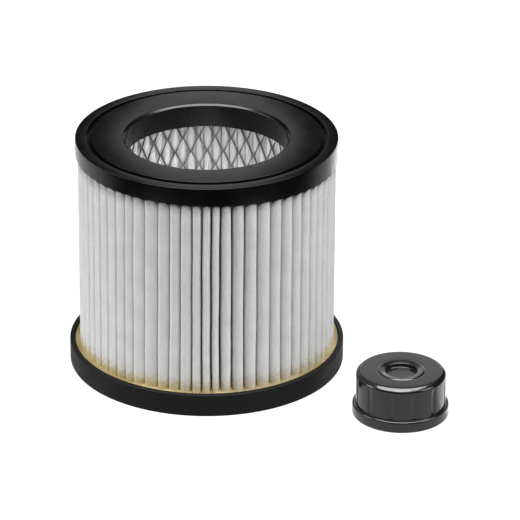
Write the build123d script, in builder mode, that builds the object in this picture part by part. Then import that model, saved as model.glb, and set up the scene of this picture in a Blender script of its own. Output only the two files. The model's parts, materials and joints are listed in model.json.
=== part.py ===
from build123d import *

import os
from math import asin, atan2, cos, radians, sin

# Pleated cartridge filter of a wet and dry vacuum cleaner, with its screw cap taken off and
# stood beside it. A wave of filter cloth stands in a shallow pan, bedded in glue. A soft
# moulded ring closes the upper end and leaves the outlet bore free, and a tube of expanded
# metal keeps the pleats from folding inwards. Millimetres, +Z up, and the origin is at the
# middle of the pan's underside.

# Cartridge, from the outlet bore outwards
total_height = 123.2
bore_diameter = 83.6
collar_wall = 1.7
core_clearance = 0.15
core_wall = 0.9
pleat_clearance = 0.25
pleat_depth = 20.45
lip_wall = 0.9
glue_bead = 2.0
pan_wall = 2.9

# Top end ring
ring_web = 4.5
lip_depth = 10.5
lip_taper = 2.0
collar_depth = 12.4
seal_width = 6.9
groove_radius = 0.65
ring_edge_radius = 1.3

# Pleated media
pleat_count = 66
media_thickness = 0.9
crest_gap = 0.45
root_gap = 0.6

# Support core
mesh_columns = 20
mesh_rows = 6
mesh_margin = 15.0
strand_width = 1.8

# Bottom pan and the glue in it
pan_height = 11.9
pan_floor = 2.5
pan_edge_radius = 0.8
dam_height = 7.0
dam_wall = 2.0
inner_bead = 2.0
glue_bed = 1.0
glue_set_back = 1.6
glue_climb = 1.2
stud_clearance = 1.5

# Screw cap
thread_diameter = 34.0
cap_wall = 5.6
cap_height = 23.7
cap_edge_radius = 2.7
flange_width = 1.7
flange_height = 5.3
flange_edge_radius = 1.2
flute_count = 12
flute_radius = 1.7
flute_depth = 0.7
flute_phase = 14.0
crown_diameter = 19.8
crown_radius = 1.7
crown_height = 0.8
recess_depth = 1.8
cap_roof = 3.2
cap_spacing = 22.0
cap_bearing = -33.6

# Radii and levels that follow from the sizes above
bore_radius = bore_diameter / 2
collar_radius = bore_radius + collar_wall
core_inside = collar_radius + core_clearance
core_outside = core_inside + core_wall
root_radius = core_outside + pleat_clearance
crest_radius = root_radius + pleat_depth
lip_inside = crest_radius + pleat_clearance
ring_radius = lip_inside + lip_wall
groove_centre = ring_radius - seal_width
pan_inside = lip_inside + glue_bead
pan_radius = pan_inside + pan_wall
dam_outside = core_inside - inner_bead
dam_inside = dam_outside - dam_wall
dam_top = pan_floor + dam_height
glue_level = pan_height - glue_set_back
pack_foot = pan_floor + glue_bed
pack_head = total_height - ring_web
pack_height = pack_head - pack_foot

thread_radius = thread_diameter / 2
stud_hole_radius = thread_radius + stud_clearance / 2
cap_radius = thread_radius + cap_wall
flange_radius = cap_radius + flange_width
crown_centre = crown_diameter / 2
recess_radius = crown_centre - crown_radius
recess_floor = cap_height - recess_depth
thread_depth = recess_floor - cap_roof
cap_distance = pan_radius + cap_spacing + flange_radius
cap_centre = Vector(cap_distance, 0, 0).rotate(Axis.Z, cap_bearing)

# Fold of the media: a round crest outside, a round root inside and straight flanks between.
# Neighbouring crests and neighbouring roots stay apart by their gaps.
pleat_pitch = 360 / pleat_count
half_step = sin(radians(pleat_pitch / 2))
crest_round = (crest_radius * half_step - crest_gap / 2) / (1 + half_step)
root_round = (root_radius * half_step - root_gap / 2) / (1 - half_step)
crest_centre = Vector(0, crest_radius - crest_round, 0)
root_centre = Vector(0, root_radius + root_round, 0).rotate(Axis.Z, -pleat_pitch / 2)
flank_run = crest_centre - root_centre
flank_turn = asin((crest_round + root_round - media_thickness) / flank_run.length)
flank_lean = atan2(-flank_run.X, flank_run.Y) - flank_turn
flank_normal = Vector(cos(flank_lean), sin(flank_lean), 0)


def fold(crest, root):
    """Draw one fold, over its crest and round the next root, with these two radii."""
    leave_crest = crest_centre + flank_normal * crest
    reach_root = root_centre - flank_normal * root
    leave_root = Vector(-reach_root.X, reach_root.Y, 0).rotate(Axis.Z, -pleat_pitch)
    next_crest = Vector(-leave_crest.X, leave_crest.Y, 0).rotate(Axis.Z, -pleat_pitch)
    with BuildLine() as line:
        ThreePointArc((-leave_crest.X, leave_crest.Y), (0, crest_centre.Y + crest), leave_crest)
        Line(leave_crest, reach_root)
        ThreePointArc(reach_root, root_centre - root_centre.normalized() * root, leave_root)
        Line(leave_root, next_crest)
    return line.line


# Top end ring: a web over the pleats, a lip round them and a collar inside the core
with BuildPart() as top_end_ring:
    with BuildSketch(Plane.XZ) as ring_section:
        with BuildLine():
            Polyline(
                (bore_radius, total_height),
                (ring_radius, total_height),
                (ring_radius, total_height - lip_depth + lip_taper),
                (lip_inside, total_height - lip_depth),
                (lip_inside, pack_head),
                (collar_radius, pack_head),
                (collar_radius, total_height - collar_depth),
                (bore_radius, total_height - collar_depth),
                close=True,
            )
        make_face()
        fillet(ring_section.vertices().group_by(Axis.Y)[-1], radius=ring_edge_radius)
        with Locations((groove_centre, total_height)):
            Circle(groove_radius, mode=Mode.SUBTRACT)
    revolve(axis=Axis.Z)

# Pleated media: one sheet, folded into a closed wave
outer_fold = fold(crest_round, root_round - media_thickness)
inner_fold = fold(crest_round - media_thickness, root_round)
with BuildPart() as pleated_media:
    with BuildSketch(Plane.XY.offset(pack_foot)):
        with BuildLine():
            with PolarLocations(0, pleat_count):
                add(outer_fold)
        make_face()
        with BuildLine():
            with PolarLocations(0, pleat_count):
                add(inner_fold)
        make_face(mode=Mode.SUBTRACT)
    extrude(amount=pack_height)

# Support core: expanded metal, a tube of strands round staggered diamond gaps
column_pitch = 360 / mesh_columns
row_pitch = (pack_height - 2 * mesh_margin) / mesh_rows
gap_width = 2 * core_inside * sin(radians(column_pitch / 2)) - strand_width
gap_height = 2 * row_pitch - strand_width


def gap_plane(row, column):
    """Upright plane inside the core's wall, facing outwards at the middle of one diamond gap."""
    turn = column_pitch * (column + row % 2 / 2)
    level = pack_foot + mesh_margin + row_pitch * (row + 0.5)
    outwards = Vector(1, 0, 0).rotate(Axis.Z, turn)
    origin = outwards * (core_inside - core_wall) + Vector(0, 0, level)
    return Plane(origin, x_dir=outwards.rotate(Axis.Z, 90), z_dir=outwards)


gap_planes = [gap_plane(row, column) for row in range(mesh_rows) for column in range(mesh_columns)]
with BuildPart() as support_core:
    with BuildSketch(Plane.XY.offset(pack_foot)):
        Circle(core_outside)
        Circle(core_inside, mode=Mode.SUBTRACT)
    extrude(amount=pack_height)
    with BuildSketch(*gap_planes):
        Polygon((gap_width / 2, 0), (0, gap_height / 2), (-gap_width / 2, 0), (0, -gap_height / 2))
    extrude(amount=3 * core_wall, mode=Mode.SUBTRACT)

# Bottom pan: a rim that holds the glue, a dam inside the core and a hole for the stud
with BuildPart() as bottom_pan:
    with BuildSketch(Plane.XZ) as pan_section:
        with BuildLine():
            Polyline(
                (stud_hole_radius, 0),
                (pan_radius, 0),
                (pan_radius, pan_height),
                (pan_inside, pan_height),
                (pan_inside, pan_floor),
                (dam_outside, pan_floor),
                (dam_outside, dam_top),
                (dam_inside, dam_top),
                (dam_inside, pan_floor),
                (stud_hole_radius, pan_floor),
                close=True,
            )
        make_face()
        rim_corners = pan_section.vertices().group_by(Axis.Y)[-1]
        outer_corners = pan_section.vertices().group_by(Axis.X)[-1]
        fillet(rim_corners + outer_corners.sort_by(Axis.Y)[:1], radius=pan_edge_radius)
    revolve(axis=Axis.Z)

# Potting ring: glue that lines the pan under the pleats and beside them
with BuildPart() as potting_ring:
    with BuildSketch(Plane.XZ):
        with BuildLine():
            Polyline(
                (dam_outside, pan_floor),
                (pan_inside, pan_floor),
                (pan_inside, glue_level),
                (lip_inside, glue_level + glue_climb),
                (lip_inside, pack_foot),
                (collar_radius, pack_foot),
                (collar_radius, dam_top - glue_set_back),
                (dam_outside, dam_top - glue_set_back),
                close=True,
            )
        make_face()
    revolve(axis=Axis.Z)

# Retaining cap: fluted body on a flange, open below for the stud, with a raised crown round
# a small recess on top
cap_upright = Plane(cap_centre, x_dir=(1, 0, 0), z_dir=(0, -1, 0))
cap_level = Plane(cap_centre)
with BuildPart() as retaining_cap:
    with BuildSketch(cap_upright) as cap_section:
        with BuildLine():
            outline = Polyline(
                (thread_radius, thread_depth),
                (thread_radius, 0),
                (flange_radius, 0),
                (flange_radius, flange_height),
                (cap_radius, flange_height),
                (cap_radius, cap_height),
                (crown_centre + crown_radius, cap_height),
            )
            ThreePointArc(
                outline @ 1,
                (crown_centre, cap_height + crown_height),
                (recess_radius, cap_height),
            )
            Polyline((recess_radius, cap_height), (recess_radius, recess_floor), (0, recess_floor),
                     (0, thread_depth), outline @ 0)
        make_face()
        outer_corners = cap_section.vertices().group_by(Axis.X)
        fillet(outer_corners[-1].sort_by(Axis.Y)[-1:], radius=flange_edge_radius)
        fillet(outer_corners[-2].sort_by(Axis.Y)[-1:], radius=cap_edge_radius)
    revolve(axis=Axis(cap_centre, (0, 0, 1)))
    with BuildSketch(cap_level.offset(flange_height)):
        with PolarLocations(cap_radius - flute_depth + flute_radius, flute_count, start_angle=flute_phase):
            Circle(flute_radius)
    extrude(amount=cap_height, mode=Mode.SUBTRACT)

os.makedirs("parts", exist_ok=True)
pieces = {
    "top_end_ring": top_end_ring,
    "pleated_media": pleated_media,
    "support_core": support_core,
    "bottom_pan": bottom_pan,
    "potting_ring": potting_ring,
    "retaining_cap": retaining_cap,
}
for name, piece in pieces.items():
    piece.part.label = name
    export_step(piece.part, f"parts/{name}.step")
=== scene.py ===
# %% [markdown]
# # A pleated vacuum filter and its screw cap
# The object is a cartridge: a ring of folded felt between a moulded black ring and a black pan,
# round a tube of expanded metal. Its screw cap stands beside it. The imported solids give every
# size and place, so this lesson starts by loading them and reading the boxes of the pieces.

# %% Load the frame
import json
import math

import bmesh
import bpy
import numpy as np
from mathutils import Matrix, Vector


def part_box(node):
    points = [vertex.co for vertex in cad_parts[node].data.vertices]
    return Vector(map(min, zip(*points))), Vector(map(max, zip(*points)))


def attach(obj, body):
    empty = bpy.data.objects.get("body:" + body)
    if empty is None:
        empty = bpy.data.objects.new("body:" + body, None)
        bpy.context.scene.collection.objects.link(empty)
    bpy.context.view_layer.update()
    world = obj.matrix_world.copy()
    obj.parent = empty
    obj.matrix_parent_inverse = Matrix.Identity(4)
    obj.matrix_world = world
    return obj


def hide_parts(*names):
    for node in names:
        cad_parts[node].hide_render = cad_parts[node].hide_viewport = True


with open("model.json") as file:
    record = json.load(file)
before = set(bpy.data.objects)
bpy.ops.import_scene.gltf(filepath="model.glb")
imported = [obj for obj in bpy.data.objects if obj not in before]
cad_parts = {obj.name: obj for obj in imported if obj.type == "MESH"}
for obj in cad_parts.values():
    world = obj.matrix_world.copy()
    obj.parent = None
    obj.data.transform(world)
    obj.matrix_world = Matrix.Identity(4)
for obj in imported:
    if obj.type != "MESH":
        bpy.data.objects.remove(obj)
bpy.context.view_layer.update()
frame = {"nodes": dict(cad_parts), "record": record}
MM = 0.001
rng = np.random.default_rng(7)
print("nodes:", sorted(frame["nodes"]))


# %% [markdown]
# ## Sizes from the frame
# A turned piece is known from its box: half the width is its radius, and the top and bottom
# are its levels. The few sizes that a box can't tell, such as a bore, come from the mounts.

# %% Read the sizes
def radius_of(node):
    """Half the width of a node's box."""
    low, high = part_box(node)
    return (high.x - low.x) / 2


mounts = {mount["name"]: mount for mount in frame["record"]["mounts"]}
bore_radius = mounts["outlet_bore"]["dims"]["r_mm"] * MM
thread_radius = mounts["cap_thread"]["dims"]["r_mm"] * MM
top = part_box("top_end_ring")[1].z
ring_radius = radius_of("top_end_ring")
collar_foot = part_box("top_end_ring")[0].z
pack_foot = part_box("pleated_media")[0].z
pack_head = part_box("pleated_media")[1].z
crest_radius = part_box("pleated_media")[1].x
core_radius = radius_of("support_core")
glue_radius = radius_of("potting_ring")
glue_foot, glue_top = (corner.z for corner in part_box("potting_ring"))
cap_low, cap_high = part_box("retaining_cap")
cap_centre = (cap_low + cap_high) / 2
flange_radius = radius_of("retaining_cap")
print(f"ring {ring_radius / MM:.1f} mm, crests {crest_radius / MM:.1f} mm, top at {top / MM:.1f} mm")


# %% [markdown]
# ## Surfaces woven from rows and columns
# Nearly everything here is turned or folded, so one helper does most of the work: a grid of
# points whose columns close on themselves, and whose rows may. A numpy array holds the points,
# which is much quicker than adding vertices one by one, and coincident points on an axis are
# merged at the end. A turned piece starts as an outline, whose corners are bent softly.

# %% Grid helper
SAME_POINT = 1e-7


def quad_faces(rows, columns, close_rows):
    """Corner numbers of every quad in a grid whose columns close."""
    row, column = np.meshgrid(np.arange(rows - 1 + close_rows), np.arange(columns), indexing="ij")
    next_row, next_column = (row + 1) % rows, (column + 1) % columns
    corners = [row * columns + column, row * columns + next_column,
               next_row * columns + next_column, next_row * columns + column]
    return np.stack(corners, -1).reshape(-1, 4)


def mesh_piece(name, points, faces, merge=False):
    """Make a piece whose faces look outwards, and merge coincident points if asked to."""
    mesh = bpy.data.meshes.new(name)
    mesh.from_pydata(points, [], faces)
    shape = bmesh.new()
    shape.from_mesh(mesh)
    if merge:
        bmesh.ops.remove_doubles(shape, verts=shape.verts, dist=SAME_POINT)
    bmesh.ops.recalc_face_normals(shape, faces=shape.faces)
    shape.to_mesh(mesh)
    shape.free()
    piece = bpy.data.objects.new(name, mesh)
    bpy.context.collection.objects.link(piece)
    print(f"{name}: {sum(len(p.vertices) - 2 for p in mesh.polygons)} triangles")
    return piece


def grid_piece(name, points, close_rows=True, sharp_deg=38):
    """Make a smooth piece from points[row, column]. Columns run round and always close."""
    faces = quad_faces(*points.shape[:2], close_rows)
    piece = mesh_piece(name, points.reshape(-1, 3).tolist(), faces.tolist(), merge=True)
    mesh = piece.data
    mesh.polygons.foreach_set("use_smooth", [True] * len(mesh.polygons))
    mesh.set_sharp_from_angle(angle=math.radians(sharp_deg))
    return piece


# %% Outline helpers
MOST_OF_EDGE = 0.49


def soft_outline(corners, steps=6):
    """Corners are (radius, height, reach): each corner with a reach becomes a smooth bend."""
    points = []
    for index, (radius, height, reach) in enumerate(corners):
        here = np.array((radius, height))
        if reach == 0:
            points.append(here)
            continue
        before = np.array(corners[index - 1][:2]) - here
        after = np.array(corners[(index + 1) % len(corners)][:2]) - here
        enter = here + before * min(MOST_OF_EDGE, reach / np.linalg.norm(before))
        leave = here + after * min(MOST_OF_EDGE, reach / np.linalg.norm(after))
        for t in np.linspace(0, 1, steps):
            points.append((1 - t) ** 2 * enter + 2 * t * (1 - t) * here + t ** 2 * leave)
    return np.array(points)


def turned(outlines, turns, centre=(0.0, 0.0)):
    """Points[row, column] of a turned surface. There is one outline for each turn."""
    radius, height = outlines[..., 0].T, outlines[..., 1].T
    x = centre[0] + radius * np.cos(turns)
    y = centre[1] + radius * np.sin(turns)
    return np.stack([x, y, height], -1)


def dress(piece, node):
    """Every new piece rides on the one body and stands for its solid."""
    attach(piece, "root")
    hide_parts(node)
    return piece


# %% [markdown]
# ## Where the folds lie
# The felt is folded by machine but set by hand, so the folds aren't quite even: they crowd
# together a little right of the front, drift at their tops on the left, and each valley wanders
# slightly on its way down. The valleys are worked out first, because the moulded ring has to
# follow them too.

# %% Valleys of the pleats
PLEATS = 66
PITCH = 2 * math.pi / PLEATS
FRONT = -math.pi / 2
FIRST_VALLEY = math.radians(-60.9)
SCATTER_DEG = 0.22
CROWD_PLACES = np.radians([16.0, -31.0])
CROWD_WIDTHS = np.radians([17.0, 7.0])
CROWD_SHIFTS = np.radians([-4.2, -1.4])
DRIFT, DRIFT_PLACE, DRIFT_WIDTH = np.radians([0.9, -28.0, 25.0])


def wrapped(turns):
    """The same turns, from half a turn back to half a turn ahead."""
    return (turns + math.pi) % (2 * math.pi) - math.pi


def hump(turns, place, width):
    """1 at one place round the ring, fading to 0 on both sides of it."""
    return np.exp(-((turns - place) / width) ** 2)


def valley_turns():
    """Even steps round the ring, moved where the folds crowd, and a little at random."""
    even = FIRST_VALLEY + PITCH * np.arange(PLEATS)
    shift = np.zeros(PLEATS)
    for place, width, size in zip(CROWD_PLACES, CROWD_WIDTHS, CROWD_SHIFTS):
        shift += size * hump(wrapped(even), place, width)
    return FRONT + even + shift + np.radians(rng.normal(0, SCATTER_DEG, PLEATS))


valleys = valley_turns()
from_front = wrapped(valleys - FRONT)
top_drift = DRIFT * hump(from_front, DRIFT_PLACE, DRIFT_WIDTH)
valley_gaps = np.degrees(np.diff(valleys))
print(f"valleys {valley_gaps.min():.1f} to {valley_gaps.max():.1f} degrees apart")


def valley_share(turns):
    """0 on the crest of a pleat and 1 in a valley, for any turn at the top of the felt."""
    tops = valleys + top_drift
    ring = np.append(tops, tops[0] + 2 * math.pi)
    place = (np.asarray(turns) - tops[0]) % (2 * math.pi) + tops[0]
    index = np.clip(np.searchsorted(ring, place, side="right") - 1, 0, PLEATS - 1)
    across = (place - ring[index]) / (ring[index + 1] - ring[index])
    return np.abs(2 * across - 1)


# %% [markdown]
# ## The pleated felt
# One fold is a crest, two flanks and a root. It is drawn twice, in polar form, with a round and
# with a flat crest. Every pleat blends the two and is stretched to its own valley-to-valley gap.
# Crests on the left are flatter and lean over like shingles, and valleys on the right are more
# open. The sheet has a front and a back, so the grid climbs the outside and comes down the
# inside, which closes it into one solid skin. A cloth simulation would have to fight 66 sharp
# folds; a formula gives the same shape every time.

# %% Shape of one fold
FELT = 0.9 * MM
CREST_PROUD = 0.3 * MM
CREST_GAP = 0.10 * MM
ROOT_CLEAR = 0.25 * MM
ROOT_GAP = 0.15 * MM
ROUND_CREST, FLAT_CREST = 2.1, 3.8
CREST_POINTS, ROOT_POINTS = 8, 5
felt_radius = crest_radius + CREST_PROUD
root_radius = core_radius + ROOT_CLEAR
half_step = math.sin(PITCH / 2)
crest_round = (felt_radius * half_step - CREST_GAP / 2) / (1 + half_step)
root_round = (root_radius * half_step - ROOT_GAP / 2) / (1 - half_step)
crest_level = felt_radius - crest_round
root_level = root_radius + root_round


def fold_outline(crest, root, flatness):
    """Polar points of one fold from root to root, as (radius, turn / half the pitch)."""
    t = np.linspace(math.pi / 2, 0, CREST_POINTS)
    crest_arc = np.stack([crest * np.cos(t) ** (2 / flatness),
                          crest_level + crest * np.sin(t) ** (2 / flatness)], -1)
    t = np.linspace(math.pi, 1.5 * math.pi, ROOT_POINTS) - PITCH / 2
    root_centre = root_level * np.array((half_step, math.cos(PITCH / 2)))
    root_arc = root_centre + root * np.stack([np.cos(t), np.sin(t)], -1)
    middle = (crest_arc[-1] + root_arc[0]) / 2
    half = np.vstack([crest_arc, middle, root_arc])
    radius = np.hypot(half[:, 0], half[:, 1])
    turn = np.arctan2(half[:, 0], half[:, 1]) / (PITCH / 2)
    return np.append(radius[::-1], radius[1:-1]), np.append(-turn[::-1], turn[1:-1])


def fold_pair(crest, root):
    """The same fold twice, with a round and with a flat crest."""
    return np.array([fold_outline(crest, root, flatness)
                     for flatness in (ROUND_CREST, FLAT_CREST)])


outer_folds = fold_pair(crest_round, root_round - FELT)
inner_folds = fold_pair(crest_round - FELT, root_round)
print("points on a fold:", outer_folds.shape[2])

# %% How the pleats differ
FLAT_PLACE, FLAT_WIDTH = np.radians([-50.0, 36.0])
SHINGLE_LEFT, SHINGLE_RIGHT = 0.9 * MM, 0.3 * MM
SIDES_MEET, SIDES_RUN = np.radians([4.0, 20.0])
CROWD_PINCH, OPEN_PINCH, LOOSE_PINCH = 0.16, 0.15, 0.03
PINCH_PLACE, PINCH_WIDTH = np.radians([-13.0, 12.0])
OPEN_PLACE, OPEN_WIDTH = np.radians([32.0, 26.0])
lean = np.radians(rng.normal(0, 0.16, PLEATS))
bow = np.radians(rng.normal(0, 0.20, PLEATS))
ripple = np.radians(rng.uniform(0.03, 0.11, PLEATS))
ripple_count = rng.uniform(1.2, 3.0, PLEATS)
ripple_start = rng.uniform(0, 2 * math.pi, PLEATS)
swell = rng.normal(0, 0.12 * MM, PLEATS)
flat_share = hump(from_front, FLAT_PLACE, FLAT_WIDTH)
side = np.clip((from_front - SIDES_MEET) / SIDES_RUN, -1, 1) * (0.5 + 0.5 * np.cos(from_front))
shingle = np.where(side < 0, SHINGLE_LEFT, SHINGLE_RIGHT)
pinch = CROWD_PINCH * hump(from_front - CROWD_PLACES[0], PINCH_PLACE, PINCH_WIDTH)
pinch += rng.uniform(0, LOOSE_PINCH, PLEATS)
pinch += OPEN_PINCH * hump(from_front, OPEN_PLACE, OPEN_WIDTH)
print(f"crests are narrowed by {100 * pinch.min():.0f} to {100 * pinch.max():.0f} percent")

# %% Weave the felt
FELT_ROWS = 26
levels = np.linspace(0, 1, FELT_ROWS)


def felt_row(folds, level):
    """Points of the sheet at one level, all round."""
    wander = (top_drift * level + lean * (level - 0.5) + bow * math.sin(math.pi * level)
              + ripple * np.sin(2 * math.pi * ripple_count * level + ripple_start))
    edges = valleys + wander
    nexts = np.append(edges[1:], edges[0] + 2 * math.pi)
    middle, half = (edges + nexts) / 2, (nexts - edges) / 2
    radius, share = folds[0][:, None] + flat_share[:, None] * (folds[1] - folds[0])[:, None]
    out = np.clip((radius - root_radius) / (felt_radius - root_radius), 0, 1)
    turns = middle[:, None] + half[:, None] * share * (1 - pinch[:, None] * out)
    drop = (shingle * np.abs(side))[:, None] / 2 - (shingle * side)[:, None] * share / 2
    radii = radius + (swell[:, None] * math.sin(math.pi * level) - drop) * out
    height = pack_foot + (pack_head - pack_foot) * level
    places = [radii * np.cos(turns), radii * np.sin(turns), np.full_like(turns, height)]
    return np.stack(places, -1).reshape(-1, 3)


felt_points = np.array([felt_row(outer_folds, level) for level in levels]
                       + [felt_row(inner_folds, level) for level in levels[::-1]])
felt = dress(grid_piece("pleated_felt", felt_points, sharp_deg=75), "pleated_media")


# %% [markdown]
# ## The felt as a flat sheet
# A pattern on the cloth has to follow every fold, so the felt gets a map of its own that lays it
# out flat. The length of that map is also the length of cloth that the maker cut.

# %% Lay the sheet flat
def lay_flat(piece, points):
    """Give the sheet a map of its own: metres along the cloth, and metres up."""
    columns = points.shape[1]
    steps = np.linalg.norm(np.diff(np.vstack([points[0], points[0][:1]]), axis=0), axis=1)
    along = np.append(0, np.cumsum(steps))
    layer = piece.data.uv_layers.new(name="cloth")
    corners = np.empty(len(piece.data.loops), int)
    piece.data.loops.foreach_get("vertex_index", corners)
    column = corners % columns
    quads = column.reshape(-1, 4)
    wraps = np.repeat(np.ptp(quads, axis=1) > columns // 2, 4)
    u = np.where(wraps & (column == 0), along[-1], along[column])
    layer.data.foreach_set("uv", np.stack([u, points.reshape(-1, 3)[corners, 2]], -1).ravel())
    print(f"the sheet is {along[-1]:.2f} m long when laid flat")
    return float(along[-1])


cloth_length = lay_flat(felt, felt_points)

# %% [markdown]
# ## The moulded end ring
# The soft ring is cast round the ends of the pleats. On top it has a flat sealing lip, a narrow
# groove and a flat land with a bevelled edge at the bore. Underneath, the casting runs down
# between the folds, so its lower edge is a row of arches, which sags a little on one side. A
# plain turned shape can't show those, so each turn gets its own outline whose lower corner
# follows the valleys.

# %% Cast the ring
RING_TURNS = PLEATS * 12
LIP_DEPTH = 8.9 * MM
VALLEY_DIP = 2.0 * MM
VALLEY_SINK = 1.5 * MM
SIDE_SAG, SAG_PLACE = 2.6 * MM, math.radians(-8)
ARCH_LOSS, LOSS_PLACE, LOSS_WIDTH = 0.65, math.radians(195), math.radians(30)
SEAL_WIDTH = 7.2 * MM
GROOVE_DEPTH = 2.6 * MM
BORE_PROUD = 0.6 * MM
LAND_DROP = 0.10 * MM
LIP_CLEAR = 0.2 * MM
COLLAR_WALL = 1.7 * MM
groove = ring_radius - SEAL_WIDTH
bore_wall = bore_radius - BORE_PROUD
land = top - LAND_DROP
ring_turns = np.linspace(0, 2 * math.pi, RING_TURNS, endpoint=False)
arches = 1 - ARCH_LOSS * hump(ring_turns, LOSS_PLACE, LOSS_WIDTH)
dips = arches * valley_share(ring_turns) ** 3
sags = SIDE_SAG * (0.5 + 0.5 * np.cos(ring_turns - SAG_PLACE)) ** 2


def ring_outline(dip, sag):
    """The lip's foot is an arch over each crest and comes to a point in each valley."""
    side_foot = top - LIP_DEPTH - sag - 0.4 * VALLEY_DIP * dip
    lip_foot = top - LIP_DEPTH - sag - 0.4 * MM - VALLEY_DIP * dip
    lip_inside = felt_radius + LIP_CLEAR - VALLEY_SINK * dip
    under = top - LIP_DEPTH + 0.8 * MM
    return soft_outline([
        (bore_wall, land - 1.2 * MM, 0.35 * MM),
        (bore_wall + 1.1 * MM, land - 0.25 * MM, 0.4 * MM),
        (groove - 0.75 * MM, land, 0.12 * MM),
        (groove - 0.7 * MM, land - GROOVE_DEPTH, 0.1 * MM),
        (groove + 1.75 * MM, land - GROOVE_DEPTH, 0.1 * MM),
        (groove + 1.8 * MM, top - 0.30 * MM, 0.12 * MM),
        (ring_radius - 0.05 * MM, top - 0.36 * MM, 0.18 * MM),
        (ring_radius, top - 1.5 * MM, 0.4 * MM),
        (ring_radius - 0.1 * MM, side_foot, 0.25 * MM),
        (lip_inside, lip_foot, 0.2 * MM),
        (lip_inside - 1.2 * MM, under, 0.3 * MM),
        (bore_radius + COLLAR_WALL, under, 0.3 * MM),
        (bore_radius + COLLAR_WALL, collar_foot, 0.4 * MM),
        (bore_wall, collar_foot - 0.5 * MM, 0.6 * MM),
    ])


ring_outlines = np.array([ring_outline(dip, sag) for dip, sag in zip(dips, sags)])
ring_points = turned(ring_outlines, ring_turns)
ring = dress(grid_piece("moulded_ring", ring_points), "top_end_ring")

# %% [markdown]
# ## The expanded metal core
# Expanded metal is slit sheet that has been pulled open: every strand zigzags, and touches its
# left and right neighbours by turns in short bonds. So the core is one zigzag strand, repeated
# all round with every second one mirrored. The pull twists the strands, so the slopes that run
# one way look thinner than the others, and they are made thinner here.

# %% Pull the strands
STRANDS = 66
STRAND_WIDTH = 0.95 * MM
STRAND_DEPTH = 0.5 * MM
THIN_SHARE = 0.4
BOND = 0.4 * MM
HALF_DIAMOND = 7.8 * MM
FIRST_BOND = 2.2 * MM
CORE_INSET = 0.3 * MM
PAST_CREST = math.radians(3.4)
strand_step = 2 * math.pi / STRANDS
mid_radius = core_radius - CORE_INSET
back_crest = (valleys[PLEATS // 2] + valleys[PLEATS // 2 + 1]) / 2
first_strand = back_crest - strand_step / 2 + PAST_CREST
half_shift = strand_step / 2 - STRAND_WIDTH / 2 / mid_radius


def strand_path(number):
    """Turns, heights and widths along one strand. Slopes that run one way are thinner."""
    stops = int((pack_head - FIRST_BOND) / HALF_DIAMOND) + 1
    turns, heights, widths = [], [], []
    for stop in range(stops):
        side = half_shift if (number + stop) % 2 == 0 else -half_shift
        level = FIRST_BOND + HALF_DIAMOND * stop
        here = first_strand + number * strand_step
        turns += [here + side, here + side, here]
        heights += [level - BOND, level + BOND, level + HALF_DIAMOND / 2]
        widths += [1, 1, THIN_SHARE if side > 0 else 1]
    return np.array(turns), np.clip(heights, pack_foot, pack_head), np.array(widths)


def strand_points(number):
    """The four corners of a strand's section, at every stop from its foot to its head."""
    turns, heights, widths = strand_path(number)
    half, depth = widths * STRAND_WIDTH / 2 / mid_radius, STRAND_DEPTH / 2
    loops = []
    for side, out in ((-half, depth), (half, depth), (half, -depth), (-half, -depth)):
        radius, turn = mid_radius + out, turns + side
        loops.append(np.stack([radius * np.cos(turn), radius * np.sin(turn), heights], -1))
    return np.stack(loops, 1)


def expanded_core():
    """All the strands in one mesh, each closed by a face at its foot and its head."""
    points, faces = [], []
    for number in range(STRANDS):
        strand = strand_points(number)
        foot, head = len(points), len(points) + 4 * len(strand) - 4
        points += strand.reshape(-1, 3).tolist()
        faces += (quad_faces(len(strand), 4, False) + foot).tolist()
        faces += [[foot, foot + 1, foot + 2, foot + 3], [head + 3, head + 2, head + 1, head]]
    return mesh_piece("expanded_core", points, faces)


core = dress(expanded_core(), "support_core")

# %% [markdown]
# ## The potting glue
# Glue is poured into the pan and the pleats are stood in it. It settles nearly level just under
# the rim, creeps up the wall and sets with a slightly uneven skin. Between the folds it shows as
# small yellowish wedges. The surface is turned, with slow waves added to its upper rows.

# %% Pour the glue
GLUE_TURNS = 480
GLUE_CREEP = 0.9 * MM
DAM_INSET = 0.15 * MM
INNER_SKIN = 7.9 * MM
WAVE = 0.16 * MM
WAVE_COUNTS = (3, 7, 11, 19)
glue_turns = np.linspace(0, 2 * math.pi, GLUE_TURNS, endpoint=False)
glue_skin = glue_top - GLUE_CREEP
dam_radius = bore_radius - DAM_INSET


def glue_outline(wave):
    """From the dam across the floor, up the pan's wall and back over the skin."""
    skin = glue_skin + wave
    return soft_outline([
        (dam_radius, glue_foot, 0),
        (glue_radius, glue_foot, 0),
        (glue_radius, skin + 0.7 * MM, 0.3 * MM),
        (glue_radius - 0.8 * MM, skin, 0.6 * MM),
        (felt_radius - 2 * MM, skin + 0.2 * MM, 0.4 * MM),
        (core_radius + 3 * MM, skin - 0.3 * MM, 0.8 * MM),
        (core_radius, INNER_SKIN, 0.8 * MM),
        (dam_radius, INNER_SKIN, 0),
    ])


slow_waves = sum(WAVE * np.sin(count * glue_turns + start)
                 for count, start in zip(WAVE_COUNTS, rng.uniform(0, 6.28, len(WAVE_COUNTS))))
glue_outlines = np.array([glue_outline(wave) for wave in slow_waves])
glue_points = turned(glue_outlines, glue_turns)
glue = dress(grid_piece("potting_glue", glue_points), "potting_ring")

# %% [markdown]
# ## The screw cap
# The cap is a glossy moulding: a flange, a body with twelve narrow grooves for the fingers, a
# bevelled top edge and a low crown that is dished round a recess. Its inside has a coarse thread.
# The grooves and the thread are both bends of a turned surface, so they are added to the radii
# before the grid is made, and no boolean cuts are needed.

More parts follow.
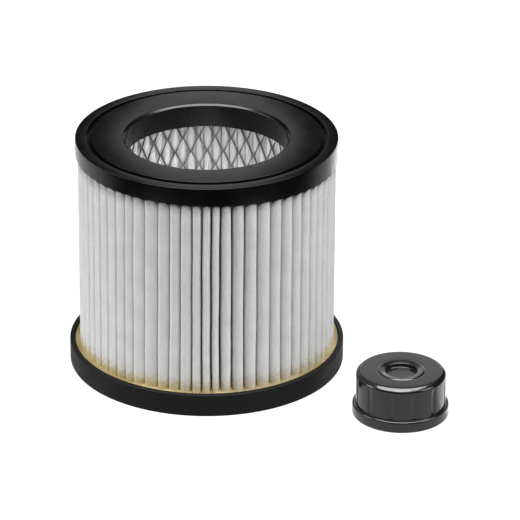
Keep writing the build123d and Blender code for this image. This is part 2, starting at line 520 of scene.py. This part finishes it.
# %% Outline of the cap
FLUTES = 12
CAP_TURNS = FLUTES * 30
FLUTE_DEPTH = 0.55 * MM
FLUTE_HALF = math.radians(3.4)
FLUTE_PHASE = math.radians(14.0)
FLUTE_TOP = 2.2 * MM
FLUTE_RUN = 1.6 * MM
THREAD_PITCH = 3.6 * MM
THREAD_RISE = 0.9 * MM
THREAD_START, THREAD_RUN = 1.2 * MM, 2 * MM
BORE_ROWS = 56
CROWN_DROP = 1.2 * MM
FLANGE_WIDTH = 1.7 * MM
FLANGE_TOP = 6.0 * MM
RECESS_DEPTH = 2.3 * MM
cap_top = cap_high.z - CROWN_DROP
body_radius = flange_radius - FLANGE_WIDTH
recess_floor = cap_top - RECESS_DEPTH
thread_depth = mounts["cap_thread"]["dims"]["length_mm"] * MM
cap_turns = np.linspace(0, 2 * math.pi, CAP_TURNS, endpoint=False)

crown_outline = soft_outline([
    (0, recess_floor, 0),
    (7.75 * MM, recess_floor, 0.3 * MM),
    (8.15 * MM, cap_top - 0.25 * MM, 0.3 * MM),
    (11.1 * MM, cap_top + 0.35 * MM, 0.3 * MM),
    (12.0 * MM, cap_top - 0.10 * MM, 0.3 * MM),
    (12.5 * MM, cap_top, 0.2 * MM),
    (14.0 * MM, cap_top, 0),
])
body_outline = soft_outline([
    (16.0 * MM, cap_top, 0),
    (body_radius - 1.75 * MM, cap_top, 0.8 * MM),
    (body_radius - 0.05 * MM, cap_top - 1.6 * MM, 0.8 * MM),
    (body_radius - 0.05 * MM, cap_top - 6 * MM, 0),
    (body_radius, FLANGE_TOP + 3.4 * MM, 0),
    (body_radius + 0.02 * MM, FLANGE_TOP + 0.02 * MM, 0.2 * MM),
    (body_radius + 0.15 * MM, FLANGE_TOP, 0),
], steps=9)
flange_outline = soft_outline([
    (body_radius + 0.18 * MM, FLANGE_TOP, 0),
    (flange_radius - 0.02 * MM, FLANGE_TOP - 0.1 * MM, 1.5 * MM),
    (flange_radius, 0.5 * MM, 0.4 * MM),
    (flange_radius - 0.5 * MM, 0, 0.3 * MM),
    (thread_radius + 1.6 * MM, 0, 0.3 * MM),
    (thread_radius + 0.5 * MM, 0.9 * MM, 0.3 * MM),
])
bore_heights = np.linspace(THREAD_START, thread_depth - 0.6 * MM, BORE_ROWS)
bore_outline = np.stack([np.full_like(bore_heights, thread_radius), bore_heights], -1)
roof_outline = np.array([(thread_radius - 0.8 * MM, thread_depth), (0, thread_depth)])
print(f"cap: body {2 * body_radius / MM:.1f} mm across, thread {thread_depth / MM:.1f} mm deep")


# %% Bend in the grooves and the thread
def plain(outline):
    """The same outline at every turn."""
    return np.repeat(outline[None], CAP_TURNS, 0)


def fluted(outline):
    """The body's outline at every turn, with the grooves pressed in below the bevelled edge."""
    half_flute = math.pi / FLUTES
    offset = (cap_turns - FLUTE_PHASE + half_flute) % (2 * half_flute) - half_flute
    edge = np.clip((FLUTE_HALF - np.abs(offset)) / (0.4 * FLUTE_HALF), 0, 1)
    press = FLUTE_DEPTH * edge ** 2 * (3 - 2 * edge)
    bent = plain(outline)
    below = np.clip((cap_top - FLUTE_TOP - bent[..., 1]) / FLUTE_RUN, 0, 1)
    bent[..., 0] -= press[:, None] * below
    return bent


def threaded(outline):
    """The bore's outline at every turn, with a right-handed thread standing inwards."""
    bent = plain(outline)
    height = bent[..., 1]
    phase = (height / THREAD_PITCH - cap_turns[:, None] / (2 * math.pi)) % 1
    ridge = np.clip(1.6 - 4 * np.abs(phase - 0.5), 0, 1)
    foot = np.clip((height - THREAD_START) / THREAD_RUN, 0, 1)
    head = np.clip((thread_depth - height) / THREAD_RUN, 0, 1)
    bent[..., 0] -= THREAD_RISE * ridge * (foot * head)
    return bent


cap_outlines = np.concatenate([plain(crown_outline), fluted(body_outline), plain(flange_outline),
                               threaded(bore_outline), plain(roof_outline)], 1)
cap_points = turned(cap_outlines, cap_turns, (cap_centre.x, cap_centre.y))
cap_piece = grid_piece("screw_cap", cap_points, close_rows=False, sharp_deg=50)
cap = dress(cap_piece, "retaining_cap")

# %% [markdown]
# ## Finishes
# Each material is a Principled shader with a few procedural nodes. Two effects turn up in more
# than one material, so they are node groups: the skin of moulded plastic, whose gloss and fine
# grain vary a little, and a fade that is strongest at one height and breaks up into blotches.
# The helpers add a node and fill its inputs in one call, which keeps every recipe short.

# %% Node helpers
def feed(tree, socket, value):
    """Link another node's output to a socket, or set the socket to a plain value."""
    if isinstance(value, bpy.types.NodeSocket):
        tree.links.new(value, socket)
    else:
        socket.default_value = value


def fill(tree, node, **inputs):
    """Feed several inputs of a node. An underscore in a name stands for a space."""
    for name, value in inputs.items():
        feed(tree, node.inputs[name.replace("_", " ")], value)


def add_node(tree, kind, settings=None, **inputs):
    node = tree.nodes.new(kind)
    for name, value in (settings or {}).items():
        setattr(node, name, value)
    fill(tree, node, **inputs)
    return node


def maths(tree, operation, *values, **settings):
    """The result of a maths node, whose inputs are fed in order."""
    node = add_node(tree, "ShaderNodeMath", {"operation": operation, **settings})
    for socket, value in zip(node.inputs, values):
        feed(tree, socket, value)
    return node.outputs[0]


def mixed(tree, data_type, factor, first, second):
    """The first where the factor is 0, the second where it is 1, and a blend between."""
    node = add_node(tree, "ShaderNodeMix", {"data_type": data_type}, Factor=factor, A=first, B=second)
    return node.outputs["Result"]


# %% Group and material helpers
def new_group(name, inputs, outputs):
    group = bpy.data.node_groups.new(name, "ShaderNodeTree")
    for label in inputs:
        group.interface.new_socket(name=label, in_out="INPUT", socket_type="NodeSocketFloat")
    for label in outputs:
        group.interface.new_socket(name=label, in_out="OUTPUT", socket_type="NodeSocketFloat")
    return group, group.nodes.new("NodeGroupInput"), group.nodes.new("NodeGroupOutput")


def place_group(tree, group, **inputs):
    return add_node(tree, "ShaderNodeGroup", {"node_tree": group}, **inputs)


def new_material(name):
    material = bpy.data.materials.new(name)
    material.use_nodes = True
    tree = material.node_tree
    return material, tree, tree.nodes["Principled BSDF"]


def wear(piece, material):
    piece.data.materials.clear()
    piece.data.materials.append(material)
    print(f"{piece.name} wears {material.name}")


# %% Skin of moulded plastic
def build_moulded_skin():
    group, given, out = new_group(
        "moulded_skin", ("Grain Scale", "Patch Scale", "Smooth", "Rough"),
        ("Roughness", "Grain", "Patches"))
    place = add_node(group, "ShaderNodeTexCoord").outputs["Object"]
    grain = add_node(group, "ShaderNodeTexNoise", Vector=place,
                     Scale=given.outputs["Grain Scale"], Detail=2.0, Roughness=0.6)
    patches = add_node(group, "ShaderNodeTexNoise", Vector=place,
                       Scale=given.outputs["Patch Scale"], Detail=4.0, Roughness=0.55)
    rough = add_node(group, "ShaderNodeMapRange", Value=patches.outputs["Fac"],
                     From_Min=0.3, From_Max=0.7,
                     To_Min=given.outputs["Smooth"], To_Max=given.outputs["Rough"])
    fill(group, out, Roughness=rough.outputs["Result"], Grain=grain.outputs["Fac"],
         Patches=patches.outputs["Fac"])
    return group


moulded_skin = build_moulded_skin()
print("group:", moulded_skin.name)


# %% Fade with blotches
def build_blotchy_fade():
    """The mask is 1 at the start height and 0 past the reach. A reach below 0 fades downwards."""
    group, given, out = new_group(
        "blotchy_fade", ("Start", "Reach", "Blotch Scale", "Blotch"), ("Mask",))
    place = add_node(group, "ShaderNodeTexCoord").outputs["Object"]
    height = add_node(group, "ShaderNodeSeparateXYZ", Vector=place).outputs["Z"]
    noise = add_node(group, "ShaderNodeTexNoise", Vector=place,
                     Scale=given.outputs["Blotch Scale"], Detail=3.0, Roughness=0.6)
    uneven = maths(group, "SUBTRACT", noise.outputs["Fac"], 0.5)
    moved = maths(group, "ADD", height, maths(group, "MULTIPLY", uneven, given.outputs["Blotch"]))
    above = maths(group, "SUBTRACT", moved, given.outputs["Start"])
    share = maths(group, "DIVIDE", above, given.outputs["Reach"])
    mask = add_node(group, "ShaderNodeMapRange", {"interpolation_type": "SMOOTHSTEP"},
                    Value=share, To_Min=1.0, To_Max=0.0)
    fill(group, out, Mask=mask.outputs["Result"])
    return group


blotchy_fade = build_blotchy_fade()
print("group:", blotchy_fade.name)


# %% [markdown]
# ## Black mouldings
# Ring, pan and cap are three blacks: the ring is soft and satin, the pan matte and slightly
# dusty, the cap hard and glossy. All three use the moulded skin with their own values. The plain
# numbers, such as the specular level, are set on the shader itself.

# %% Three blacks
def black_moulding(name, dark, pale, skin, specular, grain_depth):
    material, tree, shader = new_material(name)
    surface = place_group(tree, moulded_skin, **skin)
    colour = mixed(tree, "RGBA", surface.outputs["Patches"], (*dark, 1), (*pale, 1))
    bump = add_node(tree, "ShaderNodeBump", Strength=0.35, Distance=grain_depth,
                    Height=surface.outputs["Grain"])
    fill(tree, shader, Base_Color=colour, Roughness=surface.outputs["Roughness"],
         Normal=bump.outputs["Normal"], Specular_IOR_Level=specular)
    return material


ring_skin = dict(Grain_Scale=2600.0, Patch_Scale=90.0, Smooth=0.20, Rough=0.28)
pan_skin = dict(Grain_Scale=1800.0, Patch_Scale=120.0, Smooth=0.50, Rough=0.66)
cap_skin = dict(Grain_Scale=1500.0, Patch_Scale=160.0, Smooth=0.12, Rough=0.19)
ring_black = black_moulding("satin_ring_black", (0.0015,) * 3, (0.003, 0.003, 0.0035),
                            ring_skin, specular=0.27, grain_depth=0.012 * MM)
pan_black = black_moulding("matte_pan_black", (0.004,) * 3, (0.007, 0.007, 0.008),
                           pan_skin, specular=0.10, grain_depth=0.03 * MM)
cap_black = black_moulding("gloss_cap_black", (0.007,) * 3, (0.011, 0.011, 0.012),
                           cap_skin, specular=0.42, grain_depth=0.006 * MM)
wear(ring, ring_black)
wear(frame["nodes"]["bottom_pan"], pan_black)
wear(cap, cap_black)


# %% [markdown]
# ## Needled felt
# The cloth is a pale grey felt, pressed all over with tiny slanting dimples. Their pattern runs
# along the sheet, so it uses the flat map made above and follows every fold. At the foot the
# cloth has drunk some glue, which the blotchy fade paints: more in the valleys than on the
# crests, and more on the left. The same fade, turned over, paints shade on the tops under the
# ring, where the ring's shadow would fall.

# %% Pressed dimples
DIMPLE_TURN = math.radians(34)
DIMPLE_STEPS = (1.35 * MM, 1.0 * MM)


def pressed_dimples(tree):
    """A slanting grid of rises and hollows on the flat sheet, from -1 to 1."""
    sheet = add_node(tree, "ShaderNodeUVMap", {"uv_map": "cloth"})
    scale = [2 * math.pi / step for step in DIMPLE_STEPS]
    slant = add_node(tree, "ShaderNodeMapping", Vector=sheet.outputs["UV"],
                     Rotation=(0, 0, DIMPLE_TURN), Scale=(*scale, 1))
    split = add_node(tree, "ShaderNodeSeparateXYZ", Vector=slant.outputs["Vector"])
    waves = [maths(tree, "SINE", split.outputs[axis]) for axis in ("X", "Y")]
    return maths(tree, "MULTIPLY", *waves)


# %% Glue in the cloth
STAIN_REACH, STAIN_BLOTCH = 9 * MM, 13 * MM
VALLEY_REACH = 3 * MM
LEFT_END, RIGHT_END = -45 * MM, 20 * MM


def glue_stain(tree, place):
    """How much glue the cloth has drunk at each place, from 0 to 1."""
    foot = place_group(tree, blotchy_fade, Start=glue_top - 1 * MM, Reach=STAIN_REACH,
                       Blotch_Scale=420.0, Blotch=STAIN_BLOTCH)
    flat = add_node(tree, "ShaderNodeVectorMath", {"operation": "MULTIPLY"})
    feed(tree, flat.inputs[0], place)
    feed(tree, flat.inputs[1], (1, 1, 0))
    radius = add_node(tree, "ShaderNodeVectorMath", {"operation": "LENGTH"},
                      Vector=flat.outputs["Vector"])
    depth = add_node(tree, "ShaderNodeMapRange", Value=radius.outputs["Value"],
                     From_Min=felt_radius - VALLEY_REACH, From_Max=felt_radius,
                     To_Min=1.35, To_Max=0.8)
    across = add_node(tree, "ShaderNodeSeparateXYZ", Vector=place)
    uneven = add_node(tree, "ShaderNodeMapRange", Value=across.outputs["X"],
                      From_Min=LEFT_END, From_Max=RIGHT_END, To_Min=1.2, To_Max=0.75)
    thirst = maths(tree, "MULTIPLY", depth.outputs["Result"], uneven.outputs["Result"])
    return maths(tree, "MULTIPLY", thirst, foot.outputs["Mask"], use_clamp=True)


# %% Felt material
def felt_material():
    material, tree, shader = new_material("needled_felt")
    place = add_node(tree, "ShaderNodeTexCoord").outputs["Object"]
    dimples = pressed_dimples(tree)
    fibres = add_node(tree, "ShaderNodeTexNoise", Vector=place, Scale=2400.0, Detail=3.0,
                      Roughness=0.7)
    clouds = add_node(tree, "ShaderNodeTexNoise", Vector=place, Scale=110.0, Detail=3.0)
    height = maths(tree, "MULTIPLY_ADD", fibres.outputs["Fac"], 0.5, dimples)
    bump = add_node(tree, "ShaderNodeBump", Strength=0.8, Distance=0.16 * MM, Height=height)
    blend = maths(tree, "MULTIPLY_ADD", dimples, 0.10, clouds.outputs["Fac"])
    tone = mixed(tree, "RGBA", blend, (0.60, 0.60, 0.595, 1), (0.76, 0.76, 0.755, 1))
    # Painted shade: the crest tops just under the ring are greyed, where the ring's shadow would
    # fall.
    shade = place_group(tree, blotchy_fade, Start=top - LIP_DEPTH, Reach=-8 * MM,
                        Blotch_Scale=420.0, Blotch=5 * MM)
    tone_with_painted_shade = mixed(tree, "RGBA", shade.outputs["Mask"], tone, (0.42, 0.42, 0.415, 1))
    stained = mixed(tree, "RGBA", glue_stain(tree, place), tone_with_painted_shade, (0.55, 0.46, 0.23, 1))
    fill(tree, shader, Base_Color=stained, Normal=bump.outputs["Normal"], Roughness=0.92,
         Specular_IOR_Level=0.2, Subsurface_Weight=0.6, Subsurface_Radius=(1.0, 1.0, 1.0),
         Subsurface_Scale=0.6 * MM)
    return material


wear(felt, felt_material())


# %% [markdown]
# ## Glue and metal
# The glue is a yellowish casting, and the same fade makes it darker towards its lowest parts.
# The core is plain galvanised steel that has lost its shine.

# %% Glue material
def glue_material():
    material, tree, shader = new_material("yellowed_glue")
    surface = place_group(tree, moulded_skin, Grain_Scale=900.0, Patch_Scale=240.0,
                          Smooth=0.32, Rough=0.6)
    # The glue is darker towards its lowest parts.
    deep = place_group(tree, blotchy_fade, Start=glue_skin - 0.4 * MM, Reach=1.5 * MM,
                       Blotch_Scale=300.0, Blotch=2 * MM)
    patches = surface.outputs["Patches"]
    tint = mixed(tree, "RGBA", patches, (0.56, 0.48, 0.25, 1), (0.74, 0.69, 0.46, 1))
    dark = mixed(tree, "RGBA", deep.outputs["Mask"], tint, (0.46, 0.35, 0.14, 1))
    bump = add_node(tree, "ShaderNodeBump", Strength=0.4, Distance=0.15 * MM, Height=patches)
    fill(tree, shader, Base_Color=dark, Roughness=surface.outputs["Roughness"],
         Normal=bump.outputs["Normal"])
    return material


wear(glue, glue_material())


# %% Metal material
def core_material():
    material, tree, shader = new_material("dull_galvanised_steel")
    surface = place_group(tree, moulded_skin, Grain_Scale=1400.0, Patch_Scale=420.0,
                          Smooth=0.38, Rough=0.60)
    tone = mixed(tree, "RGBA", surface.outputs["Patches"],
                 (0.07, 0.07, 0.073, 1), (0.16, 0.16, 0.165, 1))
    fill(tree, shader, Base_Color=tone, Roughness=surface.outputs["Roughness"], Metallic=0.6)
    return material


wear(core, core_material())


# %% [markdown]
# ## Studio
# The floor is a pale sheet, cut narrow beside the object and ending a little in front of it, so
# that upright glossy faces mirror the dark front of the studio, as they do in a product
# photograph. Camera and glass rays see floor and backdrop as white. Mirrors see the white floor
# and a room that is bright above and behind. The floor still takes a soft shadow.

# %% Kinds of rays
def ray_kinds(tree):
    """Two masks: rays from the camera or through glass, and rays from a mirror."""
    path = add_node(tree, "ShaderNodeLightPath")
    seen = maths(tree, "MAXIMUM", path.outputs["Is Camera Ray"], path.outputs["Is Transmission Ray"])
    return seen, path.outputs["Is Glossy Ray"]


# %% Floor
FLOOR_EDGE = [(0.17, -0.20), (0.20, -0.02), (0.20, 0.15), (0.34, 0.6), (0.34, 1.6)]


def floor_material():
    """Pale to the light that bounces, and a white glow to camera, glass and mirror rays."""
    material, tree, shader = new_material("pale_floor")
    fill(tree, shader, Base_Color=(0.80, 0.80, 0.80, 1), Roughness=1.0, Specular_IOR_Level=0.0)
    glow = add_node(tree, "ShaderNodeEmission", Strength=0.88)
    faint = add_node(tree, "ShaderNodeBsdfDiffuse", Color=(0.34, 0.34, 0.34, 1))
    white = add_node(tree, "ShaderNodeAddShader")
    feed(tree, white.inputs[0], glow.outputs[0])
    feed(tree, white.inputs[1], faint.outputs[0])
    mix = add_node(tree, "ShaderNodeMixShader", Fac=maths(tree, "MAXIMUM", *ray_kinds(tree)))
    feed(tree, mix.inputs[1], shader.outputs[0])
    feed(tree, mix.inputs[2], white.outputs[0])
    fill(tree, tree.nodes["Material Output"], Surface=mix.outputs[0])
    return material


def make_floor():
    corners = [(x, y, 0) for x, y in FLOOR_EDGE] + [(-x, y, 0) for x, y in FLOOR_EDGE[::-1]]
    mesh = bpy.data.meshes.new("floor")
    mesh.from_pydata(corners, [], [range(len(corners))])
    floor = bpy.data.objects.new("floor", mesh)
    bpy.context.collection.objects.link(floor)
    wear(floor, floor_material())


make_floor()


# %% World
AMBIENT = 0.30
HORIZON = -0.05
BACKWARDS = (-0.15, 1, 0)


def mirrored_room(tree):
    """What mirrors see: a bright ceiling, and under the horizon a table bright at the back."""
    place = add_node(tree, "ShaderNodeTexCoord").outputs["Generated"]
    height = add_node(tree, "ShaderNodeSeparateXYZ", Vector=place).outputs["Z"]
    behind = add_node(tree, "ShaderNodeVectorMath", {"operation": "DOT_PRODUCT"})
    feed(tree, behind.inputs[0], place)
    feed(tree, behind.inputs[1], BACKWARDS)
    smooth = {"interpolation_type": "SMOOTHSTEP"}
    ceiling = add_node(tree, "ShaderNodeMapRange", smooth, Value=height,
                       From_Min=0.55, From_Max=0.95, To_Min=0.02, To_Max=1.0)
    table = add_node(tree, "ShaderNodeMapRange", smooth, Value=behind.outputs["Value"],
                     From_Min=-0.05, From_Max=0.50, To_Min=0.0, To_Max=1.0)
    below = maths(tree, "LESS_THAN", height, HORIZON)
    low = maths(tree, "MULTIPLY", table.outputs["Result"], below)
    return maths(tree, "ADD", ceiling.outputs["Result"], low)


def make_world():
    """White to camera and glass rays, a room to mirrors, and even grey to bounced light."""
    world = bpy.data.worlds.new("studio_room")
    bpy.context.scene.world = world
    world.use_nodes = True
    tree = world.node_tree
    seen, mirrors = ray_kinds(tree)
    room = mixed(tree, "FLOAT", mirrors, AMBIENT, mirrored_room(tree))
    fill(tree, tree.nodes["Background"], Color=mixed(tree, "FLOAT", seen, room, 1.0))
    print(f"{world.name}: {AMBIENT:.2f} for bounced light")


make_world()


# %% [markdown]
# ## Lamps
# Three soft lamps light the felt: one on each side, which shade the folds, and one high up in
# front. A small lamp inside the bore fills the mesh. Black gloss shows little but what it
# mirrors, so an overhead panel and a few small cards are seen by gloss alone: they draw the
# highlights on the ring, in the bore and on the cap, and light nothing.

# %% Set the lamps
def softbox(name, place, aim, size, watts, gloss_only=False, shape="RECTANGLE"):
    """A flat light. Seen by gloss only, it makes a highlight and lights nothing."""
    lamp = bpy.data.lights.new(name, "AREA")
    lamp.shape = shape
    lamp.size, lamp.size_y = size
    lamp.energy = watts
    box = bpy.data.objects.new(name, lamp)
    box.location = place
    box.rotation_euler = (Vector(aim) - Vector(place)).to_track_quat("-Z", "Y").to_euler()
    box.visible_diffuse = not gloss_only
    box.visible_camera = False
    bpy.context.collection.objects.link(box)
    print(f"{name}: {watts} W")


def card(name, place, aim, size, watts, shape="RECTANGLE"):
    softbox(name, place, aim, size, watts, gloss_only=True, shape=shape)


MIDDLE = (0, 0, 0.07)
RIM = (0, 0, 0.12)
softbox("left_softbox", (-1.15, -0.06, 0.52), MIDDLE, (0.6, 0.6), 9.3)
softbox("right_softbox", (1.05, -0.42, 0.52), MIDDLE, (0.6, 0.6), 6.6)
softbox("front_softbox", (0.10, -0.90, 1.35), MIDDLE, (0.9, 0.6), 11.0)
card("overhead_panel", (0.03, -0.15, 1.15), MIDDLE, (1.8, 1.1), 68.0, shape="ELLIPSE")
softbox("bore_fill", (0.0, -0.01, 0.030), (0.0, 0.02, 0.1), (0.03, 0.03), 0.062)
card("back_card", (0.0, 0.50, 0.34), RIM, (0.09, 0.28), 0.060)
card("cap_card", (0.11, 0.12, 0.075), (0.1, -0.06, 0.02), (0.16, 0.11), 0.054)
card("cap_side_card", (0.147, -0.03, 0.001), (0.147, -0.03, 1.0), (0.05, 0.08), 0.011)
card("left_rim_card", (-0.25, 0.55, 0.17), RIM, (0.16, 0.10), 0.05)
card("right_rim_card", (0.25, 0.55, 0.17), RIM, (0.16, 0.10), 0.05)
card("bore_card", (0.0, -0.036, 0.078), (0, 0.04, 0.118), (0.06, 0.04), 0.005)

# %% [markdown]
# ## Camera
# The camera stands about two metres away and looks down at 25 degrees through a long lens. Its
# place and angles were fitted to the rims of the ring and the pan in the photograph.

# %% Place the camera
PHOTO_PIXELS = 520
FOCAL_PIXELS = 3915.9
CAMERA_PLACE = (0, -1.81505, 0.90001)
PITCH_DOWN, YAW_RIGHT, ROLL = 0.4362, 0.0150, 0.0060
lens = bpy.data.cameras.new("photo_camera")
lens.sensor_width = 36.0
lens.lens = FOCAL_PIXELS / PHOTO_PIXELS * lens.sensor_width
camera = bpy.data.objects.new("photo_camera", lens)
camera.matrix_world = (
    Matrix.Translation(CAMERA_PLACE) @ Matrix.Rotation(-YAW_RIGHT, 4, "Z")
    @ Matrix.Rotation(math.pi / 2 - PITCH_DOWN, 4, "X") @ Matrix.Rotation(ROLL, 4, "Z"))
bpy.context.collection.objects.link(camera)
bpy.context.scene.camera = camera
bpy.context.scene.view_settings.view_transform = "Standard"
print(f"camera: {lens.lens:.0f} mm lens")
